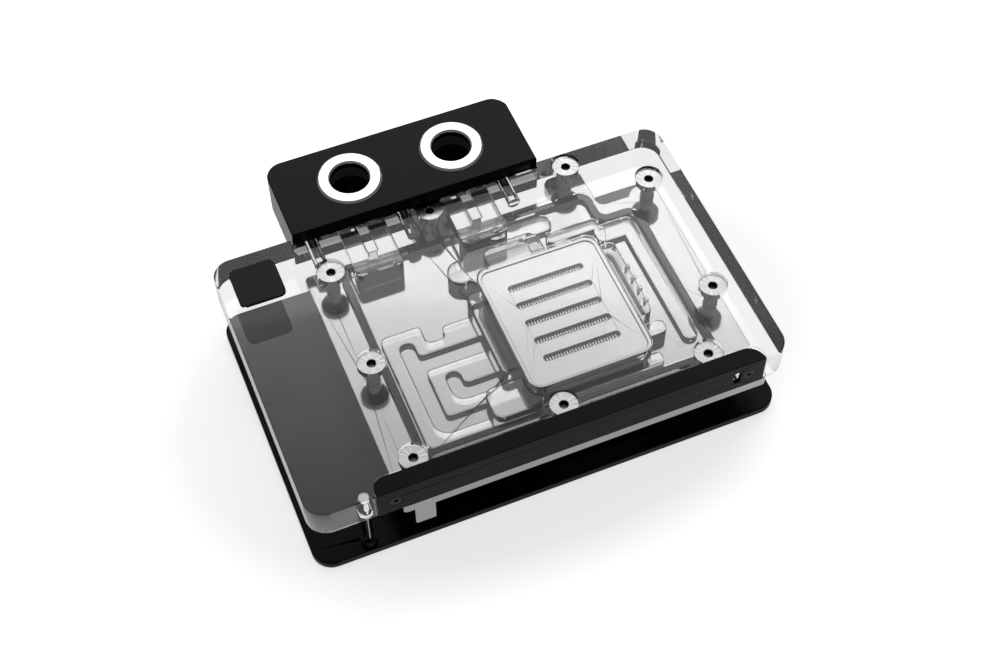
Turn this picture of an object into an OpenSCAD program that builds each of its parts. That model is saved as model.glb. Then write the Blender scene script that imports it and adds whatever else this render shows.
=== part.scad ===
// GPU water block: clear top plate over a nickel cold plate, port terminal at the rear,
// light strip along the front, black backplate behind the place of the graphics board.
// Units are mm. Z is up, the origin is the centre of the backplate underside.
// X runs along the long side and the front with the light strip looks to -Y.

/* [Outline] */
// Length of the block and of its backplate
body_w = 145; // [130:0.5:180]
// Depth of the block without the terminal
body_d = 92; // [88:0.5:120]
// Corner radius of the top plate and the backplate
corner_r = 6; // [3:0.5:8]

/* [Stack heights] */
// Thickness of the backplate
backplate_t = 2.7; // [2:0.1:4]
// Height of the spacers between backplate and graphics board
spacer_h = 2; // [1:0.1:4]
// Thickness of the graphics board that is clamped in the gap
board_t = 1.6; // [1.2:0.1:2]
// Height of the chips that the contact lands press on
chip_h = 2.5; // [1:0.1:4]
// Gap from the graphics board to the cold plate
plate_rise = 10.5; // [8:0.1:14]
// Thickness of the cold plate
plate_t = 3.6; // [3.4:0.1:6]
// Thickness of the clear top plate
cover_t = 10.4; // [10:0.1:14]

/* [Top plate screws] */
// Shank radius of the top plate screws
screw_r = 2; // [1.5:0.05:2.2]
// Head radius of the top plate screws
head_r = 4.2; // [3.4:0.05:4.5]
// Height of the low flat heads
head_h = 1.4; // [1:0.1:1.8]
// Width across flats of the hex sockets
hex_af = 2.5; // [2:0.1:3]
// Depth of the head below the top face
head_sink = 1; // [0.9:0.1:1.5]
// Distance of the left screw row from the left edge
screw_left = 32.8; // [32:0.1:33.4]
// Distance of the front screw row from the front edge
screw_front = 8.4; // [8:0.1:8.6]
// Spacing of the three front screws
screw_pitch = 44.9; // [44:0.1:45.2]
// Distance of the two right screws from the right edge
screw_right = 10.5; // [10:0.1:11]

/* [Port terminal] */
// Left side of the terminal
term_x0 = 25.6; // [22:0.1:26]
// Right side of the terminal
term_x1 = 104.1; // [104:0.1:106]
// Front face of the terminal measured from the front edge
term_y0 = 89.7; // [89:0.1:90.5]
// Depth of the terminal from front to rear
term_d = 28.3; // [26:0.1:32]
// Height of the terminal
term_h = 14.1; // [13:0.1:15]
// Height of the terminal above the top plate
term_rise = 4.5; // [4:0.1:6]
// Radius of the rear corners of the terminal
term_r = 5.5; // [3:0.1:7]
// Place of the left port along the block
port_x = 48.7; // [48:0.1:49.5]
// Spacing of the two ports
port_pitch = 33; // [32.5:0.1:33.5]
// Distance of the ports from the front edge
port_y = 104; // [103:0.1:105]
// Radius of the port threads at their crests
port_r = 5.9; // [5.5:0.05:6.5]
// Outer radius of the port rings
ring_r = 10; // [9:0.1:11]
// Height of the port rings above the terminal
ring_rise = 0.6; // [0.4:0.1:1.2]
// Depth of the port threads below the ring
port_depth = 6; // [5:0.1:6.4]

/* [Flow channels] */
// Width of the main seal cord
seal_w = 2; // [1.6:0.1:2.2]
// Squeezed height of the main seal cord
seal_h = 1.6; // [1.2:0.1:1.8]
// Height of the milled flow channels
channel_h = 4; // [3:0.1:5]
// Height of the deep pockets beside the jet chamber
pocket_h = 5; // [4:0.1:5.2]
// Wall left over the jet chamber and the ducts
roof_t = 2.4; // [2:0.1:3]
// Width of the two ducts to the terminal
duct_w = 14.8; // [13:0.1:15]
// Height of the two ducts to the terminal
duct_h = 4.8; // [4:0.1:5]
// Width of the rib in the middle of each duct
duct_rib = 3; // [2:0.1:4]
// Width of the jet chamber
chamber_w = 39; // [37:0.1:40]
// Depth of the jet chamber
chamber_d = 45.6; // [44:0.1:46]

/* [Jet plate and fins] */
// Thickness of the jet plate
jet_t = 1; // [0.6:0.1:1.2]
// Number of jet slots
jet_slots = 5; // [2:1:7]
// Width of one jet slot
jet_slot_w = 2.2; // [1:0.1:3]
// Length of one jet slot
jet_slot_l = 24; // [16:0.5:28]
// Spacing of the micro fins
fin_pitch = 0.9; // [0.8:0.05:1.4]
// Gap between two micro fins
fin_gap = 0.45; // [0.3:0.05:0.6]

/* [Light strip] */
// Left end of the light strip cover
strip_x0 = 19.2; // [19:0.1:20.5]
// Right end of the light strip cover
strip_x1 = 136.8; // [136:0.1:138]
// Width of the top flange of the cover
flange_w = 5.5; // [4:0.1:5.8]
// Thickness of the top flange
flange_t = 0.8; // [0.5:0.05:0.85]
// Thickness of the front wall of the cover
strip_t = 1.2; // [0.8:0.1:1.5]
// Number of lamps on the light board
lamps = 12; // [6:1:14]

/* [Board screws] */
// Shank radius of the board screws
board_screw_r = 1; // [0.8:0.05:1.2]
// Spacing of the four screws around the graphics chip
die_pitch = 54; // [50:0.5:56]
// Radius of the standoffs under the cold plate
standoff_r = 2.5; // [2:0.1:3]
// Radius of the slim post at the front left corner
post_r = 1.5; // [1.4:0.05:1.7]
// Distance of the corner post from the left edge
post_x = 16.3; // [10:0.1:16.8]
// Distance of the corner post from the front edge
post_y = 3.2; // [3.1:0.1:8]

/* [Badge] */
// Side length of the badge
badge_w = 14; // [10:0.1:16]
// Thickness of the badge
badge_t = 0.8; // [0.6:0.1:1.2]
// Depth of the recess that holds the badge
badge_sink = 0.5; // [0.4:0.1:0.6]

/* [Render] */
// Node to show, all for the whole part

/* [Hidden] */
$fn = 96;
cut = 1;
run_gap = 0.05;
fit_gap = 0.3;

// The terminal, the ports and the strip's right end are placed on this outline,
// and follow the rear and right edges when the outline changes
DRAWN = [145, 92];
side_shift = body_w - DRAWN[0];
rear_shift = body_d - DRAWN[1];
strip_end = strip_x1 + side_shift;
term_front = term_y0 + rear_shift;
ports_y = port_y + rear_shift;

z_spacer = backplate_t + spacer_h;
z_board = z_spacer + board_t;
z_land = z_board + chip_h;
z_plate = z_board + plate_rise;
z_cover = z_plate + plate_t;
z_top = z_cover + cover_t;
z_roof = z_top - roof_t;
z_term_top = z_top + term_rise;
z_term = z_term_top - term_h;
z_duct = z_roof - duct_h;
term_y1 = term_front + term_d;

// Places of the nine top plate screws
screw_x1 = screw_left + screw_pitch;
screw_x2 = screw_x1 + screw_pitch;
screw_xr = body_w - screw_right;
screw_rear = body_d - 4.6;
screw_left_rear = body_d - 15.3;
screw_left_mid = screw_front + 0.49 * (screw_left_rear - screw_front);
screw_right_rear = body_d - 18.7;
ports_mid = port_x + port_pitch / 2;
COVER_SCREWS = [
    [screw_left, screw_front], [screw_x1, screw_front], [screw_x2, screw_front],
    [screw_left, screw_left_mid], [screw_left, screw_left_rear],
    [ports_mid + 2.8, screw_rear], [body_w - 32.1, screw_rear],
    [screw_xr, screw_front + 21], [screw_xr, screw_right_rear]
];
screw_tip = z_plate + 0.4;
head_edge = 0.2;
socket_h = 1.5;

// Chamber, ducts and seal
chamber_x = 91.3;
chamber_y = 39.4;
chamber_r = 4.3;
chamber_x0 = chamber_x - chamber_w / 2;
chamber_x1 = chamber_x + chamber_w / 2;
chamber_y0 = chamber_y - chamber_d / 2;
chamber_y1 = chamber_y + chamber_d / 2;
DUCT_X = [port_x - 1.5, port_x - 1.5 + port_pitch + 0.3];
DUCT_Y = [body_d - 19, body_d - 19.4];
shaft_l = 5.4;
duct_r = 2;
shaft_r = 1.6;
leg_w = 4.4;
seal_x0 = 37;
seal_x1 = body_w - 16.5;
seal_y0 = 12.3;
seal_y1 = body_d - 11.4;
seal_step_x = body_w - 28.4;
seal_step_y = body_d - 22.6;
seal_r = 3.5;
groove_w = seal_w + 0.2;
shaft_end = seal_y1 - groove_w / 2 - 0.4;
SHAFT_Y = [for (y = DUCT_Y) min(y + shaft_l, shaft_end)];
field_left_y = max(DUCT_Y[0] - 1.8, 60);
field_right_y = max(DUCT_Y[1] - 1.4, chamber_y1 + 4);

// Jet plate and fins
z_fin = z_roof - 1.6 - jet_t;
fin_w = chamber_w - 4;
fin_d = chamber_d - 6.6;
fin_count = floor((fin_w - fin_gap) / fin_pitch);
jet_rim_h = 0.4;
jet_rim_w = 1.1;
jet_gap = 0.3;
skirt_t = 1;

// Cold plate outline
plate_x0 = 26.1;
plate_x1 = body_w - 6.4;
notch_x = body_w - 25.7;
notch_y = body_d - 16.6;
notch_r = 2.5;
strip_drop = 0.4;
recess_h = 1.6;

// Light strip
strip_h = cover_t + strip_drop;
z_strip = z_top - strip_h;
strip_screw_y = 5.6;
strip_screw_in = 4.9;
STRIP_SCREWS = [strip_x0 + 5.2, strip_end - strip_screw_in];
board_x0 = strip_x0 + 9.8;
board_x1 = strip_end - 11.8;
board_h = 6.4;
board_w = 1;
z_led = z_top - 8.4;
lamp_w = 3.2;
lamp_t = 1.2;
lamp_gap = 0.3;
slot_w = 2.3;
slot_h = 5;
slot_x = strip_end - 8.7;

// Terminal
ring_seat = 1.5;
bolt_grip = 1.5;
bolt_hole_l = 7.5;
bolt_head_l = 4;
bolt_seat = 4.2;
bolt_socket = 2;
bolt_af = 3;
neck_r = 4.6;
term_bolt_r = 2;
term_bolt_head = 3.5;
term_bolt_tip = term_front - bolt_grip;
TERM_BOLTS = [term_x0 + 5.9, ports_mid - 4.3, term_x1 - 10.5];
z_bolt = z_top - 4;
mouth_h = duct_h / 2;
face_seal_in = 0.6;
face_seal_w = 1.3;
face_seal_d = 1.2;

// Standoffs and board screws
die_x = chamber_x - 0.3;
die_y = chamber_y + 0.6;
DIE_PLACES = [
    for (sx = [-1, 1]) for (sy = [-1, 1])
    [die_x + sx * die_pitch / 2, die_y + sy * die_pitch / 2]
];
SIDE_PLACES = [
    [screw_left, screw_left_rear - 12.2],
    [screw_xr - 1, screw_right_rear - 22.3]
];
plate_y1 = max(body_d - 8, die_y + die_pitch / 2 + standoff_r + 0.5);
land_xr = min(chamber_x + 31.2, SIDE_PLACES[1][0] - standoff_r - 1);
land_w = 8;
PLATE_PLACES = concat(DIE_PLACES, SIDE_PLACES);
BOARD_PLACES = concat(PLATE_PLACES, [[post_x, post_y]]);
spacer_r = 2.3;
spigot_r = 1.6;
spigot_h = 2;
board_head_r = 2.2;
board_head_h = 1.2;
thread_l = 4.5;
post_head_r = 2.4;
post_neck = 1.6;
post_grip = 3.6;
post_cone = 3;

// Rounded rectangle between two corners
module rounded(x0, y0, x1, y1, r) {
    translate([x0 + r, y0]) square([x1 - x0 - 2 * r, y1 - y0]);
    translate([x0, y0 + r]) square([x1 - x0, y1 - y0 - 2 * r]);
    for (x = [x0 + r, x1 - r])
        for (y = [y0 + r, y1 - r])
            translate([x, y]) circle(r);
}

// Upright solid of that rectangle between two heights
module slab(x0, y0, x1, y1, z0, z1, r) {
    translate([0, 0, z0]) linear_extrude(z1 - z0) rounded(x0, y0, x1, y1, r);
}

// Same solid lying along Y
module slab_y(x0, z0, x1, z1, y0, y1, r) {
    translate([0, y1, 0]) rotate([90, 0, 0]) linear_extrude(y1 - y0) rounded(x0, z0, x1, z1, r);
}

module block(x0, y0, x1, y1, z0, z1) {
    translate([x0, y0, z0]) cube([x1 - x0, y1 - y0, z1 - z0]);
}

module at_corner() {
    translate([-body_w / 2, -body_d / 2, 0]) children();
}

module at_places(places) {
    for (p = places) translate([p[0], p[1], 0]) children();
}

// Outline inside the seal line, grown or shrunk by g
module seal_outline(g) {
    rounded(seal_x0 - g, seal_y0 - g, seal_step_x + g, seal_y1 + g, seal_r + g);
    rounded(seal_x0 - g, seal_y0 - g, seal_x1 + g, seal_step_y + g, seal_r + g);
    difference() {
        translate([seal_step_x + g, seal_step_y + g]) square(seal_r - g);
        translate([seal_step_x + seal_r, seal_step_y + seal_r]) circle(seal_r - g);
    }
}

module seal_loop(w, h) {
    translate([0, 0, z_cover]) linear_extrude(h) difference() {
        seal_outline(w / 2);
        seal_outline(-w / 2);
    }
}

// Bent channel: two legs of width wx and wy round an inner corner
module elbow(x0, y0, x1, y1, wx, wy, r_out, r_in, z0, z1) {
    difference() {
        slab(x0, y0, x1, y1, z0, z1, r_out);
        slab(x0 + wx, y0 + wy, x1 + r_out, y1 + r_out, z0 - cut, z1 + cut, r_in);
    }
}

// Channels milled into the underside of the clear plate
module channel_cuts() {
    z0 = z_cover - cut;
    z1 = z_cover + channel_h;
    z2 = z_cover + pocket_h;
    r = 1.8;
    // Inlet field in front of the left duct, with its tongue
    slab(39, 53.2, 63.5, field_left_y, z0, z1, r);
    slab(51.4, 46.6, 57.2, 58, z0, z1, r);
    slab(55, 50.6, chamber_x0 - 1.3, 57, z0, z1, r);
    // Loop over the voltage regulators
    elbow(43.1, 15.9, 60.4, 40, leg_w, 5.2, 4.5, 1.2, z0, z1);
    slab(43.1, 30, 43.1 + leg_w, 49.9, z0, z1, leg_w / 2 - 0.01);
    slab(43.1, 37.9, chamber_x0 - 2.8, 43.5, z0, z1, 2);
    elbow(51.9, 24.9, chamber_x0 - 2.8, 33, leg_w, 4.9, 3.8, 1.2, z0, z1);
    slab(51.9, 28, 51.9 + leg_w, 34.9, z0, z1, leg_w / 2 - 0.01);
    // Pockets around the jet chamber
    slab(chamber_x0 - 4.2, 26.8, chamber_x0 + 2, 56.6, z0, z2, 1.9);
    slab(chamber_x0 - 12.2, 15.6, chamber_x0 + 3, 23.8, z0, z2, 2.6);
    slab(chamber_x1 - 2, 30.3, chamber_x1 + 5.2, 58.5, z0, z2, 2);
    slab(chamber_x1 - 3, 22.5, chamber_x1 + 6.6, 27.1, z0, z2, 2.2);
    slab(chamber_x0 - 3, 14.6, chamber_x1 + 2, chamber_y0 + 2, z0, z1, 1.2);
    for (i = [0:3])
        slab(chamber_x1 + 4.4, 36.6 + 4.4 * i, chamber_x1 + 7.2, 38 + 4.4 * i,
            z0, z_cover + 2, 0.6);
    // Field in front of the right duct, with its round lobe
    slab(chamber_x0 - 1, chamber_y1 - 3, chamber_x1 - 15, field_right_y, z0, z2, 3);
    translate([chamber_x0 - 2.4, chamber_y1 + 3, z0]) cylinder(r = 4.2, h = z2 - z0);
    // Outer run from the right duct round to the front
    slab(DUCT_X[1] + 2, DUCT_Y[1] - 1, chamber_x1 - 8.5, seal_y1 - 2.6, z0, z1, 2.4);
    slab(chamber_x1 - 12.3, DUCT_Y[1] - 6, seal_step_x - 0.6, DUCT_Y[1] - 1.8, z0, z1, 1.9);
    slab(seal_step_x - 3.7, seal_step_y - 8.4, seal_x1 - 2.5, seal_step_y - 1.8, z0, z1, 2.4);
    slab(seal_x1 - 7.2, 19, seal_x1 - 2.5, seal_step_y - 4, z0, z1, 2.3);
}

// Ducts from the terminal face down to the cold plate
module duct_cuts() {
    for (i = [0, 1]) {
        x0 = DUCT_X[i] - duct_w / 2;
        x1 = DUCT_X[i] + duct_w / 2;
        slab(x0, DUCT_Y[i], x1, SHAFT_Y[i], z_cover - cut, z_roof, shaft_r);
        difference() {
            slab(x0, DUCT_Y[i], x1, body_d + 2 * cut, z_duct, z_roof, duct_r);
            block(DUCT_X[i] - duct_rib / 2, DUCT_Y[i] + 7.4, DUCT_X[i] + duct_rib / 2,
                body_d + 3 * cut, z_duct - cut, z_roof + cut);
        }
    }
}

module chamber_cuts() {
    slab(chamber_x0, chamber_y0, chamber_x1, chamber_y1, z_cover - cut, z_roof, chamber_r);
    slab(chamber_x0 + 5.2, chamber_y1 - 4, chamber_x1 - 19.8, field_right_y - 3.3,
        z_cover - cut, z_roof, 2);
}

// Stepped hole for one top plate screw
module cover_screw_hole() {
    z_head = z_top - head_sink;
    translate([0, 0, z_cover - cut]) cylinder(r = screw_r + 0.15, h = cover_t + 2 * cut);
    translate([0, 0, z_head - head_h]) cylinder(r = head_r + 0.1, h = head_h + head_sink + cut);
}

module strip_cuts() {
    block(strip_x0 - fit_gap, -cut, strip_end + fit_gap, strip_t, z_cover - cut, z_top + cut);
    slab(strip_x0 - fit_gap, -4, strip_end + fit_gap, flange_w + fit_gap / 2,
        z_top - flange_t, z_top + cut, 3.6);
    slab_y(board_x0 - 0.6, z_led - 0.4, slot_x + slot_w / 2, z_led + board_h + 0.4,
        -cut, strip_t + board_w + lamp_t + lamp_gap, 0.5);
    for (x = STRIP_SCREWS)
        translate([x, strip_t - cut, z_top - strip_screw_y]) rotate([-90, 0, 0])
            cylinder(r = 1 + run_gap, h = 6 + cut);
}

module terminal_bolt_cuts() {
    for (x = TERM_BOLTS)
        translate([x, term_front - bolt_hole_l, z_bolt]) rotate([-90, 0, 0])
            cylinder(r = term_bolt_r + run_gap, h = 2 * bolt_hole_l);
}

module post_hole() {
    translate([post_x, post_y, z_cover - cut])
        cylinder(r = post_head_r + run_gap, h = cut + post_grip);
    translate([post_x, post_y, z_cover + post_grip])
        cylinder(r1 = post_head_r + run_gap, r2 = post_neck + run_gap, h = post_cone);
}

module acrylic_top() {
    color([0.86, 0.9, 0.92, 0.4]) at_corner() difference() {
        slab(0, 0, body_w, body_d, z_cover, z_top, corner_r);
        block(term_x0 - fit_gap, term_front, term_x1 + fit_gap, body_d + cut,
            z_cover - cut, z_top + cut);
        at_places(COVER_SCREWS) cover_screw_hole();
        badge_place(badge_w + 0.2, z_top - badge_sink, z_top + cut);
        seal_loop(groove_w, seal_h);
        channel_cuts();
        duct_cuts();
        chamber_cuts();
        strip_cuts();
        terminal_bolt_cuts();
        post_hole();
    }
}

module main_seal() {
    color([0.2, 0.2, 0.21]) at_corner() seal_loop(seal_w, seal_h);
}

// Outline of the cold plate with its ears for the rear screws
module plate_body(z0, z1) {
    slab(plate_x0, 0, notch_x, plate_y1, z0, z1, 1.5);
    slab(plate_x0, 0, plate_x1, notch_y, z0, z1, 1.5);
    difference() {
        block(notch_x, notch_y, notch_x + notch_r, notch_y + notch_r, z0, z1);
        translate([notch_x + notch_r, notch_y + notch_r, z0 - cut])
            cylinder(r = notch_r, h = z1 - z0 + 2 * cut);
    }
    for (x = [COVER_SCREWS[5][0], COVER_SCREWS[6][0]])
        slab(x - 6.2, plate_y1 - 8, x + 6.2, body_d - 0.4, z0, z1, 3);
    translate([screw_xr - 0.8, COVER_SCREWS[8][1], z0]) cylinder(r = 4.8, h = z1 - z0);
}

// Contact lands that reach down to the chips of the graphics board
module plate_lands() {
    slab(29.5, 0, 36, SIDE_PLACES[0][1] - 6.5, z_land, z_plate, 0.8);
    slab(chamber_x - 17.3, chamber_y - 17.4, chamber_x + 16.7, chamber_y + 18.6,
        z_land, z_plate, 1);
    for (x = [chamber_x - 31.3, land_xr - land_w])
        slab(x, 24, x + land_w, 56, z_land, z_plate, 1);
    for (y = [plate_y1 - 20, 8])
        slab(chamber_x - 15.3, y, chamber_x + 14.7, y + 8.5, z_land, z_plate, 1);
}

module fin_gaps() {
    x0 = chamber_x - fin_w / 2 + (fin_w - fin_count * fin_pitch + fin_pitch - fin_gap) / 2;
    for (i = [0:fin_count - 1])
        block(x0 + i * fin_pitch, chamber_y - fin_d / 2 - cut, x0 + i * fin_pitch + fin_gap,
            chamber_y + fin_d / 2 + cut, z_cover - 0.01, z_fin + cut);
}

module plate_recesses() {
    z0 = z_cover - recess_h;
    z1 = z_cover + 0.01;
    slab(chamber_x0 - 3.4, 27.6, chamber_x0 + 1.4, 55.8, z0, z1, 1.5);
    slab(chamber_x1 - 1.4, 31.2, chamber_x1 + 4.2, 57.6, z0, z1, 1.5);
}

module cold_plate() {
    color([0.78, 0.78, 0.8]) at_corner() difference() {
        union() {
            plate_body(z_plate, z_cover);
            plate_lands();
            difference() {
                block(chamber_x - fin_w / 2, chamber_y - fin_d / 2, chamber_x + fin_w / 2,
                    chamber_y + fin_d / 2, z_cover - 0.5, z_fin);
                fin_gaps();
            }
        }
        at_places(COVER_SCREWS) translate([0, 0, screw_tip - 0.1])
            cylinder(r = screw_r + run_gap, h = plate_t);
        at_places(PLATE_PLACES) translate([0, 0, z_plate - cut])
            cylinder(r = spigot_r + run_gap, h = cut + spigot_h);
        plate_recesses();
        block(strip_x0 - cut, -cut, strip_end + fit_gap, strip_t + run_gap,
            z_cover - strip_drop, z_cover + cut);
    }
}

// Thin sheet over the fins with generic jet slots
module jet_plate() {
    x0 = chamber_x0 + jet_gap;
    x1 = chamber_x1 - jet_gap;
    y0 = chamber_y0 + jet_gap;
    y1 = chamber_y1 - jet_gap;
    r = chamber_r - jet_gap;
    span = jet_slot_w * 3;
    color([0.72, 0.72, 0.74]) at_corner() difference() {
        union() {
            slab(x0, y0, x1, y1, z_fin, z_fin + jet_t + jet_rim_h, r);
            block(x0 + r, y1 - skirt_t, x1 - r, y1, z_cover, z_fin + jet_t);
        }
        slab(x0 + jet_rim_w, y0 + jet_rim_w, x1 - jet_rim_w, y1 - jet_rim_w,
            z_fin + jet_t, z_roof, r - jet_rim_w);
        for (i = [0:jet_slots - 1]) {
            y = chamber_y + (i - (jet_slots - 1) / 2) * span;
            slab(chamber_x - jet_slot_l / 2, y - jet_slot_w / 2, chamber_x + jet_slot_l / 2,
                y + jet_slot_w / 2, z_fin - cut, z_fin + jet_t + cut, jet_slot_w / 2 - 0.01);
        }
    }
}

// Countersunk screw with a hex socket, head up, tip at tip_z
module flat_screw(r, hr, hh, z_head, tip_z, socket) {
    difference() {
        union() {
            translate([0, 0, tip_z]) cylinder(r = r, h = z_head - hh - tip_z + 0.01);
            translate([0, 0, z_head - hh]) cylinder(r1 = r, r2 = hr, h = hh);
        }
        translate([0, 0, z_head - 0.65 * hh])
            cylinder(d = socket / cos(30), h = hh, $fn = 6);
    }
}

// Screw with a low flat head and a hexagon socket
module low_screw(r, hr, hh, z_head, tip_z, socket) {
    difference() {
        union() {
            translate([0, 0, tip_z]) cylinder(r = r, h = z_head - hh - tip_z);
            translate([0, 0, z_head - hh]) cylinder(r = hr, h = hh - head_edge);
            translate([0, 0, z_head - head_edge])
                cylinder(r1 = hr, r2 = hr - head_edge, h = head_edge);
        }
        translate([0, 0, z_head - socket_h])
            cylinder(d = socket / cos(30), h = socket_h + cut, $fn = 6);
    }
}

module cover_screws() {
    color([0.8, 0.8, 0.81]) at_corner() at_places(COVER_SCREWS)
        low_screw(screw_r, head_r, head_h, z_top - head_sink, screw_tip, hex_af);
}

// Outline of the rounded opening between terminal and clear plate
module mouth(i, grow, y0, y1) {
    zc = z_duct + mouth_h;
    slab_y(DUCT_X[i] - duct_w / 2 - grow, zc - mouth_h - grow,
        DUCT_X[i] + duct_w / 2 + grow, zc + mouth_h + grow, y0, y1, duct_r + grow);
}

module terminal_shape() {
    slab(term_x0, term_front + term_r, term_x1, term_y1, z_term, z_term_top, term_r);
    block(term_x0, term_front, term_x1, term_y1 - term_r, z_term, z_term_top);
}

module terminal_body() {
    color([0.06, 0.06, 0.065]) at_corner() difference() {
        terminal_shape();
        for (i = [0, 1]) {
            px = port_x + i * port_pitch;
            translate([px, ports_y, z_term_top - ring_seat])
                cylinder(r = ring_r + run_gap, h = ring_seat + cut);
            translate([px, ports_y, z_term_top - port_depth])
                cylinder(r = port_r, h = port_depth + cut);
            translate([px, ports_y, z_duct]) cylinder(r = neck_r, h = term_h);
            slab(DUCT_X[i] - duct_w / 2 + 1.5, term_front - 6, DUCT_X[i] + duct_w / 2 - 1.5,
                ports_y + 1, z_duct, z_roof, duct_r);
            difference() {
                mouth(i, face_seal_in + face_seal_w, term_front - cut, term_front + face_seal_d);
                mouth(i, face_seal_in, term_front - 2 * cut, term_front + face_seal_d + cut);
            }
        }
        translate([COVER_SCREWS[5][0], COVER_SCREWS[5][1], z_top - head_sink - head_h])
            cylinder(r = head_r + 0.3, h = head_h + head_sink + fit_gap);
        for (x = TERM_BOLTS) translate([x, term_front - cut, z_bolt]) rotate([-90, 0, 0]) {
            cylinder(r = term_bolt_r + 0.2, h = term_d + 2 * cut);
            translate([0, 0, term_d + cut - bolt_seat])
                cylinder(r = term_bolt_head + 0.1, h = bolt_seat + cut);
        }
    }
}

module port_ring(i) {
    color([0.85, 0.85, 0.86]) at_corner()
        translate([port_x + i * port_pitch, ports_y, z_term_top - ring_seat])
            difference() {
                union() {
                    cylinder(r = ring_r, h = ring_seat + ring_rise - 0.4);
                    translate([0, 0, ring_seat + ring_rise - 0.4])
                        cylinder(r1 = ring_r, r2 = ring_r - 0.5, h = 0.4);
                }
                translate([0, 0, -cut]) cylinder(r = port_r, h = 4 * cut);
                translate([0, 0, ring_seat + ring_rise - 0.7])
                    cylinder(r1 = port_r, r2 = port_r + 0.9, h = 0.71);
            }
}

module port_ring_left() {
    port_ring(0);
}

module port_ring_right() {
    port_ring(1);
}

module terminal_seals() {
    color([0.08, 0.08, 0.08]) at_corner() for (i = [0, 1])
        difference() {
            mouth(i, face_seal_in + face_seal_w - run_gap, term_front, term_front + face_seal_d);
            mouth(i, face_seal_in + run_gap, term_front - cut, term_front + face_seal_d + cut);
        }
}

module terminal_screws() {
    seat_y = term_y1 - bolt_seat - term_bolt_tip;
    color([0.7, 0.7, 0.72]) at_corner() for (x = TERM_BOLTS)
        translate([x, term_bolt_tip, z_bolt]) rotate([-90, 0, 0]) difference() {
            union() {
                cylinder(r = term_bolt_r, h = seat_y);
                translate([0, 0, seat_y]) cylinder(r = term_bolt_head, h = bolt_head_l);
            }
            translate([0, 0, seat_y + bolt_head_l - bolt_socket])
                cylinder(d = bolt_af / cos(30), h = bolt_socket + cut, $fn = 6);
        }
}

module strip_flange() {
    intersection() {
        union() {
            slab(strip_x0, -8, strip_x0 + 40, flange_w, z_top - flange_t, z_top, 3.5);
            slab(strip_x0 + 20, -8, strip_end, flange_w, z_top - flange_t, z_top, 5.4);
        }
        block(strip_x0, 0, strip_end, flange_w + cut, z_strip, z_top + cut);
    }
}

module light_strip_cover() {
    color([0.07, 0.07, 0.07]) at_corner() difference() {
        union() {
            block(strip_x0, 0, strip_end, strip_t, z_strip, z_top);
            strip_flange();
        }
        for (x = STRIP_SCREWS) translate([x, 0, z_top - strip_screw_y]) rotate([-90, 0, 0]) {
            translate([0, 0, -cut]) cylinder(r = 1.15, h = 4);
            translate([0, 0, -cut]) cylinder(r = 1.85 + run_gap, h = cut + 0.7);
        }
        slab_y(slot_x - slot_w / 2, z_strip + 3, slot_x + slot_w / 2, z_strip + 3 + slot_h,
            -cut, strip_t + cut, slot_w / 2 - 0.01);
    }
}

module led_board() {
    color([0.9, 0.9, 0.88]) at_corner()
        block(board_x0, strip_t, board_x1, strip_t + board_w, z_led, z_led + board_h);
}

module led_lamps() {
    step = (board_x1 - board_x0) / lamps;
    color([0.95, 0.95, 0.9]) at_corner() for (i = [0:lamps - 1]) {
        x = board_x0 + (i + 0.5) * step;
        block(x - lamp_w / 2, strip_t + board_w, x + lamp_w / 2, strip_t + board_w + lamp_t,
            z_led + (board_h - lamp_w) / 2, z_led + (board_h + lamp_w) / 2);
    }
}

module strip_screws() {
    color([0.1, 0.1, 0.1]) at_corner() for (x = STRIP_SCREWS)
        translate([x, 0, z_top - strip_screw_y]) rotate([-90, 0, 0]) difference() {
            union() {
                cylinder(r = 1.85, h = 0.7);
                cylinder(r = 1, h = 6.5);
            }
            translate([0, 0, -cut]) cylinder(d = 1.3 / cos(30), h = cut + 0.5, $fn = 6);
        }
}

module badge_place(w, z0, z1) {
    cx = 11.4;
    cy = body_d - 11.5;
    slab(cx - w / 2, cy - w / 2, cx + w / 2, cy + w / 2, z0, z1, 2 + (w - badge_w) / 2);
}

module badge() {
    color([0.05, 0.05, 0.05]) at_corner()
        badge_place(badge_w, z_top - badge_sink, z_top - badge_sink + badge_t);
}

module backplate() {
    color([0.07, 0.07, 0.075]) at_corner() difference() {
        slab(0, 0, body_w, body_d, 0, backplate_t, corner_r);
        at_places(BOARD_PLACES) {
            translate([0, 0, -cut]) cylinder(r = board_screw_r + 0.15, h = backplate_t + 2 * cut);
            translate([0, 0, -0.01]) cylinder(r1 = board_head_r + 0.12,
                r2 = board_screw_r + 0.12, h = board_head_h + 0.01);
        }
    }
}

module backplate_spacers() {
    color([0.12, 0.12, 0.12]) at_corner() at_places(BOARD_PLACES) difference() {
        translate([0, 0, backplate_t]) cylinder(r = spacer_r, h = spacer_h);
        translate([0, 0, backplate_t - cut])
            cylinder(r = board_screw_r + 0.1, h = spacer_h + 2 * cut);
    }
}

module backplate_screws() {
    color([0.15, 0.15, 0.15]) at_corner() at_places(BOARD_PLACES)
        mirror([0, 0, 1])
            flat_screw(board_screw_r, board_head_r, board_head_h, 0,
                -z_board - thread_l, 1.5);
}

module plate_standoffs() {
    color([0.75, 0.72, 0.6]) at_corner() at_places(PLATE_PLACES) difference() {
        union() {
            translate([0, 0, z_board]) cylinder(r = standoff_r, h = z_plate - z_board);
            translate([0, 0, z_plate - 0.01]) cylinder(r = spigot_r, h = spigot_h + 0.01);
        }
        translate([0, 0, z_board - cut])
            cylinder(r = board_screw_r + run_gap, h = cut + thread_l + 0.5);
    }
}

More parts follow.
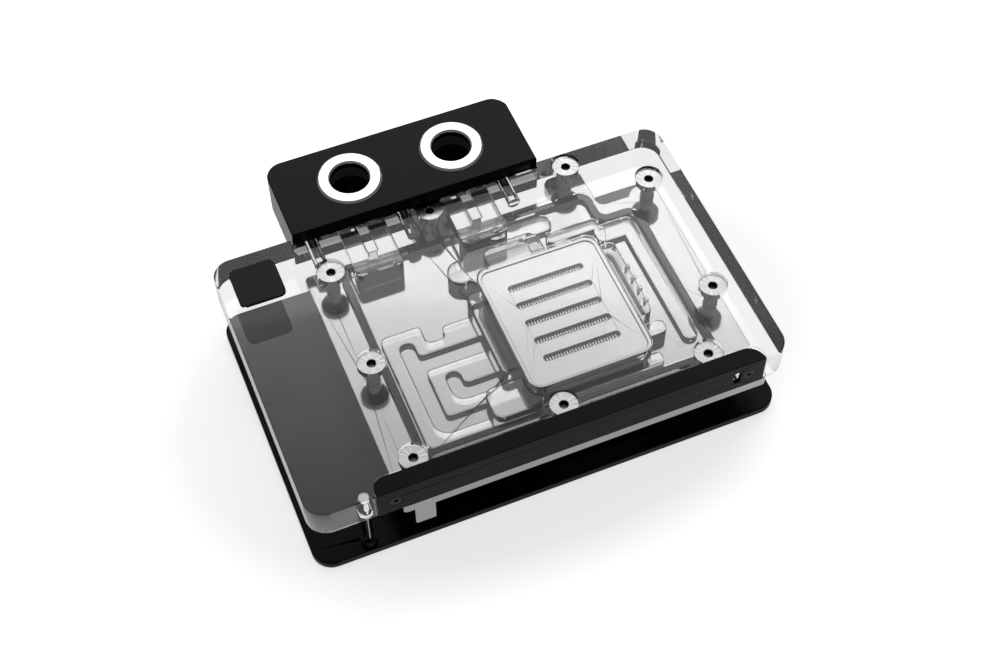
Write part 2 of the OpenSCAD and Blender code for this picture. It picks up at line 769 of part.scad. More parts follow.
module corner_post() {
    color([0.82, 0.82, 0.83]) at_corner() translate([post_x, post_y, 0]) difference() {
        union() {
            translate([0, 0, z_board]) cylinder(r = post_r, h = z_cover - z_board + 0.01);
            translate([0, 0, z_cover])
                cylinder(r1 = post_r, r2 = post_head_r, h = post_grip - 1.6);
            translate([0, 0, z_cover + post_grip - 1.6]) cylinder(r = post_head_r, h = 1.6);
            translate([0, 0, z_cover + post_grip])
                cylinder(r1 = post_head_r, r2 = post_neck, h = post_cone);
        }
        translate([0, 0, z_board - cut])
            cylinder(r = board_screw_r + run_gap, h = cut + thread_l + 0.5);
    }
}

acrylic_top();
cold_plate();
jet_plate();
main_seal();
cover_screws();
terminal_body();
port_ring_left();
port_ring_right();
terminal_seals();
terminal_screws();
light_strip_cover();
led_board();
led_lamps();
strip_screws();
badge();
backplate();
backplate_spacers();
backplate_screws();
plate_standoffs();
corner_post();
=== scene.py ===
# GPU water block: looks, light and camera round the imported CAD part
import bmesh
import bpy
import math
from mathutils import Matrix, Vector


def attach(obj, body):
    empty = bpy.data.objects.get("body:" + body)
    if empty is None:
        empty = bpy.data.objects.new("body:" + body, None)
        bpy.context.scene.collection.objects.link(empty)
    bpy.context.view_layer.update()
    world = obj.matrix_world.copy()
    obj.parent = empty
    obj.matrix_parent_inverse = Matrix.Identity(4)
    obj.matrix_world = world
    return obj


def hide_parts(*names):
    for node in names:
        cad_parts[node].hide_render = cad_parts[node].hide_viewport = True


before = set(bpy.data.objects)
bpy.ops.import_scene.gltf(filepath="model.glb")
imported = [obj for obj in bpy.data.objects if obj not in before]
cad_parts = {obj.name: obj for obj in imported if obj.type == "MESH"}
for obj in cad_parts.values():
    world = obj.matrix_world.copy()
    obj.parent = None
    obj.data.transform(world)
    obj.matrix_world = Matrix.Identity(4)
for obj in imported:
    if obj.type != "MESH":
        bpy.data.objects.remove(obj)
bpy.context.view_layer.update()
mm = 0.001

# Heights and places that the pieces share, in millimetres from the centre of the underside
stack = {
    "plate": 16.8,         # underside of the cold plate's flange
    "cover": 20.4,         # underside of the clear plate
    "top": 30.8,           # top of the clear plate
    "terminal": 35.3,      # top of the port terminal
}
corner = Vector((-72.5, -46.0, 0.0))   # front left corner of the block
sharpAngle = math.radians(35)          # edges sharper than this get broken
squareOn = 0.99999                     # a face is square to an axis when its normal has this share along it


def spot(x, y, z=0.0):
    return Vector((x + corner.x, y + corner.y, z)) * mm


def deselectAll():
    if bpy.context.object and bpy.context.object.mode != "OBJECT":
        bpy.ops.object.mode_set(mode="OBJECT")
    bpy.ops.object.select_all(action="DESELECT")


def makeActive(piece):
    deselectAll()
    piece.select_set(True)
    bpy.context.view_layer.objects.active = piece


def cadCopy(node, name):
    # welded copy of a CAD node, ready for rounded edges
    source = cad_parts[node]
    piece = bpy.data.objects.new(name, source.data.copy())
    bpy.context.scene.collection.objects.link(piece)
    makeActive(piece)
    if piece.data.has_custom_normals:
        bpy.ops.mesh.customdata_custom_splitnormals_clear()
    bpy.ops.object.mode_set(mode="EDIT")
    bpy.ops.mesh.select_all(action="SELECT")
    bpy.ops.mesh.remove_doubles(threshold=0.000002)
    bpy.ops.object.mode_set(mode="OBJECT")
    return piece


def anyEdge(a, b):
    return True


def level(z):
    # both ends of an edge at this height
    return lambda a, b: abs(a.z - z) < 0.01 and abs(b.z - z) < 0.01


def pickEdges(piece, wanted):
    # selects the sharp edges that the test wants, and nothing else
    bpy.ops.object.mode_set(mode="EDIT")
    bpy.ops.mesh.select_mode(type="EDGE")
    bpy.ops.mesh.select_all(action="DESELECT")
    mesh = bmesh.from_edit_mesh(piece.data)
    count = 0
    for edge in mesh.edges:
        if len(edge.link_faces) != 2:
            continue
        if edge.calc_face_angle(0.0) < sharpAngle:
            continue
        a, b = edge.verts[0].co / mm, edge.verts[1].co / mm
        if wanted(a, b):
            edge.select_set(True)
            count += 1
    bmesh.update_edit_mesh(piece.data)
    return count


def roundEdges(piece, width, steps, wanted=anyEdge):
    makeActive(piece)
    count = pickEdges(piece, wanted)
    if count:
        bpy.ops.mesh.bevel(offset=width * mm, segments=steps, profile=0.5, affect="EDGES",
                           clamp_overlap=False)
    bpy.ops.object.mode_set(mode="OBJECT")
    print("   ", piece.name, "rounded", count, "edges")


def evenNormals(piece, angle=32):
    # faces square to an axis shade flat, and only the rounded edges shade softly
    makeActive(piece)
    bpy.ops.object.shade_smooth_by_angle(angle=math.radians(angle))
    for face in piece.data.polygons:
        if max(abs(part) for part in face.normal) > squareOn:
            face.use_smooth = False


def finishPiece(piece, node, material):
    makeActive(piece)
    piece.data.materials.clear()
    piece.data.materials.append(material)
    evenNormals(piece)
    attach(piece, "root")
    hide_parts(node)
    deselectAll()


def moveMesh(piece, offset):
    # puts the place into the mesh, so that the object stays at the origin
    piece.data.transform(Matrix.Translation(offset))


# A turned piece: one ring of points, extruded and scaled from station to station
def turnedPiece(name, stations, points=48, closeStart=True, closeEnd=True):
    deselectAll()
    bpy.ops.mesh.primitive_circle_add(vertices=points, radius=stations[0][0] * mm,
                                      location=(0, 0, stations[0][1] * mm),
                                      fill_type="NGON" if closeStart else "NOTHING")
    piece = bpy.context.object
    piece.name = name
    bpy.ops.object.transform_apply(location=True, rotation=True, scale=True)
    bpy.ops.object.mode_set(mode="EDIT")
    bpy.ops.mesh.select_mode(type="EDGE")
    bpy.ops.mesh.select_all(action="SELECT")
    for last, here in zip(stations, stations[1:]):
        factor = here[0] / last[0]
        rise = (0, 0, (here[1] - last[1]) * mm)
        bpy.ops.mesh.extrude_edges_move(TRANSFORM_OT_translate={"value": rise})
        bpy.ops.transform.resize(value=(factor, factor, 1), center_override=(0, 0, here[1] * mm))
    if closeEnd:
        bpy.ops.mesh.edge_face_add()
    bpy.ops.mesh.select_all(action="SELECT")
    bpy.ops.mesh.normals_make_consistent(inside=False)
    bpy.ops.object.mode_set(mode="OBJECT")
    return piece


# Materials, each made from nodes on the object's own coordinates
def newFinish(name):
    finish = bpy.data.materials.new(name)
    finish.use_nodes = True
    tree = finish.node_tree
    shader = tree.nodes["Principled BSDF"]
    return finish, tree, shader


def addNode(tree, kind, **values):
    node = tree.nodes.new(kind)
    for key, value in values.items():
        setattr(node, key, value)
    return node


def objectPoint(tree, scale=(1, 1, 1)):
    coords = addNode(tree, "ShaderNodeTexCoord")
    mapping = addNode(tree, "ShaderNodeMapping")
    mapping.inputs["Scale"].default_value = scale
    tree.links.new(coords.outputs["Object"], mapping.inputs["Vector"])
    return mapping.outputs["Vector"]


def noiseOf(tree, point, scale, detail=3.0, rough=0.55):
    noise = addNode(tree, "ShaderNodeTexNoise")
    noise.inputs["Scale"].default_value = scale
    noise.inputs["Detail"].default_value = detail
    noise.inputs["Roughness"].default_value = rough
    tree.links.new(point, noise.inputs["Vector"])
    return noise.outputs["Fac"]


def spread(tree, value, low, high, fromLow=0.3, fromHigh=0.7):
    ranged = addNode(tree, "ShaderNodeMapRange")
    ranged.inputs["From Min"].default_value = fromLow
    ranged.inputs["From Max"].default_value = fromHigh
    ranged.inputs["To Min"].default_value = low
    ranged.inputs["To Max"].default_value = high
    tree.links.new(value, ranged.inputs["Value"])
    return ranged.outputs["Result"]


def shadeBetween(tree, value, dark, light):
    ramp = addNode(tree, "ShaderNodeValToRGB")
    ramp.color_ramp.elements[0].position = 0.3
    ramp.color_ramp.elements[0].color = (*dark, 1)
    ramp.color_ramp.elements[1].position = 0.7
    ramp.color_ramp.elements[1].color = (*light, 1)
    tree.links.new(value, ramp.inputs["Fac"])
    return ramp.outputs["Color"]


def bumpFrom(tree, shader, value, height, strength=1.0):
    bump = addNode(tree, "ShaderNodeBump")
    bump.inputs["Strength"].default_value = strength
    bump.inputs["Distance"].default_value = height
    tree.links.new(value, bump.inputs["Height"])
    tree.links.new(bump.outputs["Normal"], shader.inputs["Normal"])


def anodisedBlack(name, tone=0.004, level=0.125, rough=0.24, grain=0.000004):
    finish, tree, shader = newFinish(name)
    point = objectPoint(tree)
    fine = noiseOf(tree, point, 5200, 4)
    broad = noiseOf(tree, point, 60, 3)
    shade = shadeBetween(tree, broad, (tone * 0.8,) * 3, (tone * 1.25,) * 3)
    tree.links.new(shade, shader.inputs["Base Color"])
    tree.links.new(spread(tree, fine, rough - 0.04, rough + 0.05), shader.inputs["Roughness"])
    bumpFrom(tree, shader, fine, grain)
    shader.inputs["Specular IOR Level"].default_value = level
    return finish


def satinNickel(name, tone=0.70, rough=0.2, stroke=(1, 14, 1)):
    # plated and lapped along X: long faint strokes over a cloudy plating
    finish, tree, shader = newFinish(name)
    strokes = noiseOf(tree, objectPoint(tree, stroke), 420, 5, 0.6)
    clouds = noiseOf(tree, objectPoint(tree), 45, 3)
    shade = shadeBetween(tree, clouds, (tone * 0.97,) * 3, (tone * 1.02, tone * 1.02, tone * 1.03))
    tree.links.new(shade, shader.inputs["Base Color"])
    tree.links.new(spread(tree, strokes, rough * 0.8, rough * 1.3), shader.inputs["Roughness"])
    bumpFrom(tree, shader, strokes, 0.0000006)
    shader.inputs["Metallic"].default_value = 1
    return finish


def clearAcrylic(name):
    # what lies below shows almost straight through, while faces and walls mirror as acrylic does
    finish, tree, shader = newFinish(name)
    bumpFrom(tree, shader, noiseOf(tree, objectPoint(tree), 90, 2), 0.0000015)
    haze = noiseOf(tree, objectPoint(tree), 700, 3)
    tree.links.new(spread(tree, haze, 0.0, 0.012), shader.inputs["Roughness"])
    shader.inputs["Base Color"].default_value = (0.985, 0.99, 0.995, 1)
    shader.inputs["Transmission Weight"].default_value = 1
    shader.inputs["IOR"].default_value = 1.06
    mirror = addNode(tree, "ShaderNodeBsdfGlossy")
    mirror.inputs["Color"].default_value = (0.98, 0.98, 0.98, 1)
    mirror.inputs["Roughness"].default_value = 0.012
    share = addNode(tree, "ShaderNodeFresnel")
    share.inputs["IOR"].default_value = 1.49
    both = addNode(tree, "ShaderNodeMixShader")
    tree.links.new(share.outputs["Fac"], both.inputs["Fac"])
    tree.links.new(shader.outputs["BSDF"], both.inputs[1])
    tree.links.new(mirror.outputs["BSDF"], both.inputs[2])
    tree.links.new(both.outputs["Shader"], tree.nodes["Material Output"].inputs["Surface"])
    return finish


def turnedSteel(name, tone=0.8, rough=0.22, grooves=1400):
    # faced on a lathe: fine rings on the UV radius, highlights spread like a bow tie, and the light and dark
    # streaks round the face are painted sheen in its colour
    finish, tree, shader = newFinish(name)
    coords = addNode(tree, "ShaderNodeTexCoord")
    mapping = addNode(tree, "ShaderNodeMapping")
    mapping.inputs["Scale"].default_value = (6, grooves, 1)
    tree.links.new(coords.outputs["UV"], mapping.inputs["Vector"])
    rings = noiseOf(tree, mapping.outputs["Vector"], 1, 3)
    # painted sheen: light and dark streaks round the axis, put into the head's base colour
    paintedSheenFan = addNode(tree, "ShaderNodeMapping")
    paintedSheenFan.inputs["Scale"].default_value = (26, 0.2, 1)
    tree.links.new(coords.outputs["UV"], paintedSheenFan.inputs["Vector"])
    paintedSheenRays = noiseOf(tree, paintedSheenFan.outputs["Vector"], 1, 4, 0.7)
    shade = shadeBetween(tree, paintedSheenRays, (tone * 0.62,) * 3, (tone,) * 3)
    tree.links.new(shade, shader.inputs["Base Color"])
    tree.links.new(spread(tree, rings, rough - 0.05, rough + 0.08), shader.inputs["Roughness"])
    bumpFrom(tree, shader, rings, 0.000004)
    around = addNode(tree, "ShaderNodeTangent", direction_type="UV_MAP")
    tree.links.new(around.outputs["Tangent"], shader.inputs["Tangent"])
    shader.inputs["Anisotropic"].default_value = 0.75
    shader.inputs["Metallic"].default_value = 1
    return finish


def sealRubber(name, tone=0.03):
    finish, tree, shader = newFinish(name)
    point = objectPoint(tree)
    fine = noiseOf(tree, point, 2600, 4)
    shade = shadeBetween(tree, fine, (tone * 0.8,) * 3, (tone * 1.3,) * 3)
    tree.links.new(shade, shader.inputs["Base Color"])
    tree.links.new(spread(tree, fine, 0.42, 0.6), shader.inputs["Roughness"])
    bumpFrom(tree, shader, fine, 0.00001)
    shader.inputs["Specular IOR Level"].default_value = 0.4
    return finish


def plainPlastic(name, low, high, rough, grain=0.000006, level=0.5):
    finish, tree, shader = newFinish(name)
    point = objectPoint(tree)
    fine = noiseOf(tree, point, 3200, 3)
    shade = shadeBetween(tree, noiseOf(tree, point, 150, 3), low, high)
    tree.links.new(shade, shader.inputs["Base Color"])
    tree.links.new(spread(tree, fine, rough - 0.05, rough + 0.06), shader.inputs["Roughness"])
    bumpFrom(tree, shader, fine, grain)
    shader.inputs["Specular IOR Level"].default_value = level
    return finish


finishes = {
    "anodised": anodisedBlack("anodisedBlack"),
    "terminal": anodisedBlack("terminalBlack", 0.003, 0.13, 0.22),
    "badge": anodisedBlack("badgeBlack", 0.006, 0.16, 0.2, 0.000002),
    "nickel": satinNickel("platedCopper", 0.57, 0.11),
    "sheet": satinNickel("jetSheet", 0.62, 0.13),
    "chrome": satinNickel("portChrome", 0.88, 0.06, (1, 1, 1)),
    "steel": turnedSteel("facedScrewSteel"),
    # painted shade: a much darker copy of the screw steel for the hex socket, where the recess lies in shade
    "socket": satinNickel("socketSteelPaintedShade", 0.06, 0.35, (1, 1, 20)),
    "shank": satinNickel("screwShank", 0.16, 0.3, (1, 1, 30)),
    # painted light: the bore's black is several times lighter than the terminal's, for light that falls into
    # the ports; its higher gloss is a material finish
    "bore": anodisedBlack("boreBlackPaintedLight", 0.02, 0.5, 0.16),
    "post": satinNickel("postNickel", 0.8, 0.14, (1, 1, 20)),
    "brass": satinNickel("platedBrass", 0.66, 0.2, (1, 1, 20)),
    "acrylic": clearAcrylic("castAcrylic"),
    "cord": sealRubber("sealCord", 0.012),
    "faceSeal": sealRubber("faceSealCord", 0.02),
    "board": plainPlastic("whiteSolderResist", (0.72, 0.72, 0.70), (0.8, 0.8, 0.78), 0.4),
    "lamp": plainPlastic("lampResin", (0.80, 0.78, 0.62), (0.88, 0.86, 0.72), 0.2),
    "spacer": plainPlastic("blackNylon", (0.008, 0.008, 0.008), (0.014, 0.014, 0.014), 0.5, level=0.3),
    "oxide": anodisedBlack("blackOxide", 0.01, 0.3, 0.3),
}
print("materials made:", len(finishes))


def dressNode(node, material):
    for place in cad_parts[node].material_slots:
        place.material = material


# Clear plate: polished outside edges, and channels whose roofs are rounded by the ball-nosed cutter
clearPlate = {
    "size": (145, 92), "corner": 6, "cornerArc": 20,
    "edge": 0.4, "edgeSteps": 3,   # polished edge of the outline
    "air": 0.015,                  # film of air round the plate where it meets other pieces
    "snap": 0.02,                  # points this near to a polished face are put on it
    "under": 19.0,                 # the cutters start below the plate
    "channel": 22.3, "pocket": 25.4, "comb": 21.8, "duct": 28.4, "ductFloor": 23.6,
    "nose": 0.4, "deepNose": 0.5, "ductNose": 0.45, "combNose": 0.25,
    # left, right, front and rear of the shafts
    "ducts": [(39.8, 54.6, 73.0, 78.4), (73.1, 87.9, 72.6, 78.0)],
    "shaftCorner": 1.6, "ductCorner": 2, "ribCorner": 0.4, "ductLength": 7.4, "rib": 3.0,
    "face": 89.7, "past": 2,       # rear face of the plate under the terminal, and how far ducts run past it
    # the solid that the ducts are milled from: how far it reaches round them, and its underside
    "plugSide": 0.3, "plugFront": 1, "plugRear": 0.4, "plugCorner": 0.3, "plugFloor": 22.1,
    "lap": 0.01,
    "bay": (25.28, 89.68, 104.42, 96, 0.2),   # where the terminal stands
    "slip": 0.05,                  # keeps two cutters from sharing a wall
    # the solid inside the seal, with each corner's radius, that the channels are milled from
    "field": [(38.5, 13.8, 2.6), (127.1, 13.8, 2.6), (127.1, 68.1, 2.6), (117.9, 68.1, 1),
              (115.2, 71.5, 1), (115.2, 79.2, 2.6), (38.5, 79.2, 2.6)],
    # shallow channels round the regulators' ribs: the outer way and the inner way
    "outerWay": [(38.9, 12.9, 2.5), (62, 12.9, 0), (62, 16, 0), (43, 16, 4.5), (43, 49, 2.1),
                 (47.6, 49, 2.1), (47.6, 43.3, 1.4), (69, 43.3, 0), (69, 50.8, 0), (57.2, 50.8, 1.6),
                 (57.2, 46.7, 1.8), (51.4, 46.7, 1.8), (51.4, 53.3, 1.4), (38.9, 53.3, 2)],
    "innerWay": [(47.6, 21.1, 1.6), (62, 21.1, 0), (62, 24.9, 0), (51.9, 24.9, 3.8), (51.9, 34.9, 2.1),
                 (56.3, 34.9, 2.1), (56.3, 29.8, 1.8), (69, 29.8, 0), (69, 37.9, 0), (47.6, 37.9, 1.4)],
    # left, front, right, rear and corner radius of the plain cuts
    "run": [(82.5, 71.6, 102.3, 78, 2.4), (98.5, 66.6, 115.9, 70.8, 1.9), (112.9, 61, 126, 67.6, 2.4),
            (121.3, 19, 126, 66, 2.2), (68.8, 14.6, 112.8, 18.6, 1.3)],
    "pockets": [(67.2, 26.8, 74, 56.6, 1.9), (59.6, 13.2, 74.8, 23.8, 2.6), (108.8, 30.3, 116, 58.5, 2),
                (107.8, 22.5, 117.4, 27.1, 2.15), (70.8, 59.2, 95.8, 71.2, 3), (65.2, 61, 73.6, 69.4, 4.1)],
    "combs": [(115.2, 36.6 + 4.4 * i, 118, 38 + 4.4 * i, 0.6) for i in range(4)],
    "chamber": [(71.8, 16.6, 110.8, 62.2, 4.3), (77, 58.2, 91, 67.9, 2)],
}


def fourCorners(x0, y0, x1, y1, radius):
    return [(x0, y0, radius), (x1, y0, radius), (x1, y1, radius), (x0, y1, radius)]


def tracedBlock(name, contour, low, high, nose=0, steps=4, arc=6):
    # the contour is drawn corner by corner, rounded, filled and pulled up; the nose rounds its roof
    deselectAll()
    bpy.ops.mesh.primitive_plane_add(size=mm)
    block = bpy.context.object
    block.name = name
    bpy.ops.object.mode_set(mode="EDIT")
    bpy.ops.mesh.select_mode(type="VERT")
    bpy.ops.mesh.select_all(action="SELECT")
    bpy.ops.mesh.merge(type="CENTER")
    bpy.ops.transform.translate(value=spot(contour[0][0], contour[0][1], low))
    for last, here in zip(contour, contour[1:]):
        step = ((here[0] - last[0]) * mm, (here[1] - last[1]) * mm, 0)
        bpy.ops.mesh.extrude_vertices_move(TRANSFORM_OT_translate={"value": step})
    bpy.ops.mesh.select_all(action="SELECT")
    bpy.ops.mesh.edge_face_add()
    for x, y, radius in contour:
        if not radius:
            continue
        bpy.ops.mesh.select_all(action="DESELECT")
        mesh = bmesh.from_edit_mesh(block.data)
        place = spot(x, y, low)
        nearest = min(mesh.verts, key=lambda v: (v.co - place).length)
        nearest.select_set(True)
        bmesh.update_edit_mesh(block.data)
        bpy.ops.mesh.bevel(offset=radius * mm, segments=arc, affect="VERTICES", clamp_overlap=False)
    bpy.ops.mesh.select_mode(type="FACE")
    bpy.ops.mesh.select_all(action="SELECT")
    bpy.ops.mesh.extrude_region_move(TRANSFORM_OT_translate={"value": (0, 0, (high - low) * mm)})
    if nose:
        bpy.ops.mesh.bevel(offset=nose * mm, segments=steps, profile=0.5, affect="EDGES",
                           clamp_overlap=False)
    bpy.ops.mesh.select_all(action="SELECT")
    bpy.ops.mesh.normals_make_consistent(inside=False)
    bpy.ops.object.mode_set(mode="OBJECT")
    return block


def combine(piece, tool, operation):
    makeActive(piece)
    join = piece.modifiers.new("mill", "BOOLEAN")
    join.operation = operation
    join.object = tool
    join.solver = "MANIFOLD"
    bpy.ops.object.modifier_apply(modifier="mill")
    bpy.data.objects.remove(tool)


def mill(piece, s, name, places, top, nose, steps=4):
    for place in places:
        cutter = tracedBlock(name, fourCorners(*place), s["under"], s[top], s[nose], steps)
        combine(piece, cutter, "DIFFERENCE")


def makeClearPlate(s):
    piece = cadCopy("acrylic_top", "clearPlate")
    air = s["air"]
    outline = fourCorners(air, air, s["size"][0] - air, s["size"][1] - air, s["corner"])
    for low, high in ((stack["cover"] - 1, stack["top"] - air), (stack["top"] + 1, stack["cover"] + air)):
        polished = tracedBlock("polishedOutline", outline, low, high, s["edge"], s["edgeSteps"],
                               s["cornerArc"])
        combine(piece, polished, "INTERSECT")
    over = s["duct"] + s["lap"]
    combine(piece, tracedBlock("fieldPlug", s["field"], stack["cover"], over), "UNION")
    for x0, x1, y0, y1 in s["ducts"]:
        sides = fourCorners(x0 - s["plugSide"], y0 - s["plugFront"], x1 + s["plugSide"],
                            s["face"] + s["plugRear"], s["plugCorner"])
        combine(piece, tracedBlock("ductPlug", sides, s["plugFloor"], over), "UNION")
    slip = s["slip"]
    far = s["face"] + s["past"]
    half = s["rib"] / 2
    for x0, x1, y0, y1 in s["ducts"]:
        sides = fourCorners(x0 + slip, y0 - slip, x1 - slip, y1, s["shaftCorner"])
        shaft = tracedBlock("shaftCutter", sides, s["under"], s["duct"] - slip, s["ductNose"])
        combine(piece, shaft, "DIFFERENCE")
        rib = (x0 + x1) / 2
        tip = y0 + s["ductLength"]
        duct = [(x0, y0, s["ductCorner"]), (x1, y0, s["ductCorner"]), (x1, far, 0), (rib + half, far, 0),
                (rib + half, tip, s["ribCorner"]), (rib - half, tip, s["ribCorner"]), (rib - half, far, 0),
                (x0, far, 0)]
        ductCutter = tracedBlock("ductCutter", duct, s["ductFloor"], s["duct"], s["ductNose"])
        combine(piece, ductCutter, "DIFFERENCE")
    for name in ("outerWay", "innerWay"):
        way = tracedBlock(name, s[name], s["under"], s["channel"], s["nose"])
        combine(piece, way, "DIFFERENCE")
    mill(piece, s, "run", s["run"], "channel", "nose")
    mill(piece, s, "pocket", s["pockets"], "pocket", "deepNose")
    mill(piece, s, "comb", s["combs"], "comb", "combNose", 2)
    mill(piece, s, "chamber", s["chamber"], "duct", "ductNose")
    bay = tracedBlock("terminalBay", fourCorners(*s["bay"]), s["under"], stack["top"] + 1)
    combine(piece, bay, "DIFFERENCE")
    makeActive(piece)
    shrink = piece.modifiers.new("airFilm", "DISPLACE")
    shrink.strength = -air * mm
    shrink.mid_level = 0
    bpy.ops.object.modifier_apply(modifier="airFilm")
    for polishedFace in ((stack["top"] - 2 * air) * mm, (stack["cover"] + 2 * air) * mm):
        for vertex in piece.data.vertices:
            if abs(vertex.co.z - polishedFace) < s["snap"] * mm:
                vertex.co.z = polishedFace      # keeps the two polished faces truly flat
    finishPiece(piece, "acrylic_top", finishes["acrylic"])
    return piece


clearPlatePiece = makeClearPlate(clearPlate)
print("clear plate made:", len(clearPlatePiece.data.polygons), "faces")

# Low-headed screws of the clear plate: hex socket, faced head, rolled thread
coverScrew = {
    "places": [(32.8, 8.4), (77.7, 8.4), (122.6, 8.4), (32.8, 41.87), (32.8, 76.7),
               (68, 87.4), (112.9, 87.4), (134.5, 29.4), (134.5, 73.3)],
    "head": 4.2, "shank": 2.0, "root": 1.74, "headHeight": 1.4,
    "sink": 1.0,                # top of the head below the plate's face
    "edge": 0.14, "rim": 0.3,   # the head's chamfer, and where its wall starts
    "seatGap": 0.03,            # the head stays this far off its seat
    "faceRings": (2.1, 2.7, 3.3, 3.8),
    "flats": 2.5, "socket": 1.5, "lead": 0.18, "pitch": 0.7, "tip": 17.2,
}


def polarUv(piece):
    # U runs round the axis and V outwards, for the turning marks
    piece.data.uv_layers.new(name="turned")
    layer = piece.data.uv_layers.active.data
    for face in piece.data.polygons:
        middle = math.atan2(face.center.y, face.center.x)
        for loop in face.loop_indices:
            co = piece.data.vertices[piece.data.loops[loop].vertex_index].co
            turn = math.atan2(co.y, co.x) - middle
            turn = (turn + math.pi) % (2 * math.pi) - math.pi
            layer[loop].uv = ((middle + turn) / (2 * math.pi), (co.xy.length - co.z) / (6 * mm))


def extendRing(radiusNow, radius, rise, z):
    factor = radius / radiusNow
    bpy.ops.mesh.extrude_edges_move(TRANSFORM_OT_translate={"value": (0, 0, rise * mm)})
    bpy.ops.transform.resize(value=(factor, factor, 1), center_override=(0, 0, z * mm))


def screwStations(s, top, seat):
    # radius and height of each ring, from the head's edge down to the tip
    stations = [(s["head"], top - s["edge"]), (s["head"], top - s["rim"]), (s["head"], seat + 0.12),
                (s["head"] - 0.1, seat + s["seatGap"]), (s["shank"] + 0.1, seat + s["seatGap"]),
                (s["shank"], seat - 0.06), (s["shank"], seat - 0.5), (s["root"], seat - 0.65)]
    step = s["pitch"] / 2
    z = stations[-1][1] - step
    crest = True
    while z > s["tip"] + step:
        stations.append((s["shank"] if crest else s["root"], z))
        crest = not crest
        z -= step
    stations.append((s["root"] * 0.9, s["tip"]))
    return stations


def makeCoverScrews(s):
    top = stack["top"] - s["sink"]
    seat = top - s["headHeight"]
    across = s["flats"] / 2 / math.cos(math.pi / 6)
    deselectAll()
    bpy.ops.mesh.primitive_circle_add(vertices=6, radius=across * mm,
                                      location=(0, 0, (top - s["socket"]) * mm), fill_type="NGON")
    screw = bpy.context.object
    bpy.ops.object.transform_apply(location=True, rotation=True, scale=True)
    bpy.ops.object.mode_set(mode="EDIT")
    bpy.ops.mesh.select_mode(type="EDGE")
    bpy.ops.mesh.select_all(action="SELECT")
    bpy.ops.mesh.subdivide(number_cuts=7)
    extendRing(1, 1, s["socket"] - s["lead"], top - s["lead"])
    extendRing(1, 1.1, s["lead"], top)
    bpy.ops.transform.tosphere(value=1, center_override=(0, 0, top * mm))
    mesh = bmesh.from_edit_mesh(screw.data)
    now = max(v.co.xy.length for v in mesh.verts if v.select) / mm
    for radius in (*s["faceRings"], s["head"] - s["edge"]):
        extendRing(now, radius, 0, top)
        now = radius
    z = top
    for radius, height in screwStations(s, top, seat):
        extendRing(now, radius, height - z, height)
        now, z = radius, height
    bpy.ops.mesh.edge_face_add()
    bpy.ops.mesh.select_all(action="SELECT")
    bpy.ops.mesh.normals_make_consistent(inside=False)
    bpy.ops.object.mode_set(mode="OBJECT")
    polarUv(screw)
    screw.data.materials.append(finishes["steel"])
    screw.data.materials.append(finishes["shank"])
    screw.data.materials.append(finishes["socket"])
    # faces below the seat take the shank steel, and the hex socket's faces take the darkened steel, a
    # painted shade inside the recess
    for face in screw.data.polygons:
        out = face.center.xy.length / mm
        if face.center.z < (seat + s["seatGap"] * 2) * mm:
            face.material_index = 1
        elif out < across * 1.02 and face.center.z < (top - 0.1) * mm:
            face.material_index = 2
    copies = []
    for x, y in s["places"]:
        copy = bpy.data.objects.new("coverScrew", screw.data.copy())
        bpy.context.scene.collection.objects.link(copy)
        copy.data.transform(Matrix.Rotation(0.7 * x, 4, "Z"))
        moveMesh(copy, spot(x, y))
        copies.append(copy)
    bpy.data.objects.remove(screw)
    deselectAll()
    for copy in copies:
        copy.select_set(True)
    bpy.context.view_layer.objects.active = copies[0]
    bpy.ops.object.join()
    piece = bpy.context.object
    piece.name = "coverScrews"
    evenNormals(piece, 28)
    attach(piece, "root")
    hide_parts("cover_screws")
    return piece


makeCoverScrews(coverScrew)
print("cover screws made")

# Port rings: wide polished face, chamfers inside and outside
portRing = {
    "places": [(48.7, 104, "left"), (81.7, 104, "right")],
    # radius and height, round the section
    "profile": [(5.9, 33.82), (5.9, 35.35), (5.95, 35.45), (6.3, 35.82), (6.42, 35.9), (9.3, 35.9),
                (9.42, 35.86), (9.95, 35.45), (10.0, 35.35), (10.0, 33.82), (5.9, 33.82)],
    "points": 128,
    "reach": 10.2,          # edges nearer to the ring's axis than this stay as they are
}


def makePortRing(s, x, y, side):
    piece = turnedPiece("portRing_" + side, s["profile"], s["points"], False, False)
    makeActive(piece)
    bpy.ops.object.mode_set(mode="EDIT")
    bpy.ops.mesh.select_all(action="SELECT")
    bpy.ops.mesh.remove_doubles(threshold=0.000001)
    bpy.ops.mesh.normals_make_consistent(inside=False)
    bpy.ops.object.mode_set(mode="OBJECT")
    moveMesh(piece, spot(x, y))
    finishPiece(piece, "port_ring_" + side, finishes["chrome"])


for x, y, side in portRing["places"]:
    makePortRing(portRing, x, y, side)
print("port rings made")

# Port terminal: rounded edges, cut threads below the rings
terminal = {
    "edge": 0.3, "threadCrest": 5.9, "threadRoot": 6.5, "pitch": 1.337, "threadTop": 33.9, "threadEnd": 29.6,
    "start": 0.3, "relief": 0.1, "points": 96,
    "flank": (0.4, 0.6),           # share of the pitch where the thread's root starts and ends
    "bore": (6.55, 34),            # faces inside this radius and below this height belong to the bore
}


def onRing(a, b):
    axes = [spot(x, y) / mm for x, y, side in portRing["places"]]
    return any((end - axis).xy.length < portRing["reach"] for axis in axes for end in (a, b))


def terminalTop(a, b):
    return min(a.z, b.z) > stack["terminal"] - 0.01 and not onRing(a, b)


def threadCutter(s):
    stations = [(s["threadCrest"] - s["relief"], s["threadTop"])]
    z = s["threadTop"] - s["start"]
    while z > s["threadEnd"]:
        stations += [(s["threadCrest"], z), (s["threadRoot"], z - s["pitch"] * s["flank"][0]),
                     (s["threadRoot"], z - s["pitch"] * s["flank"][1])]
        z -= s["pitch"]
    stations.append((s["threadCrest"] - s["relief"], z))
    return turnedPiece("threadCutter", stations, s["points"])


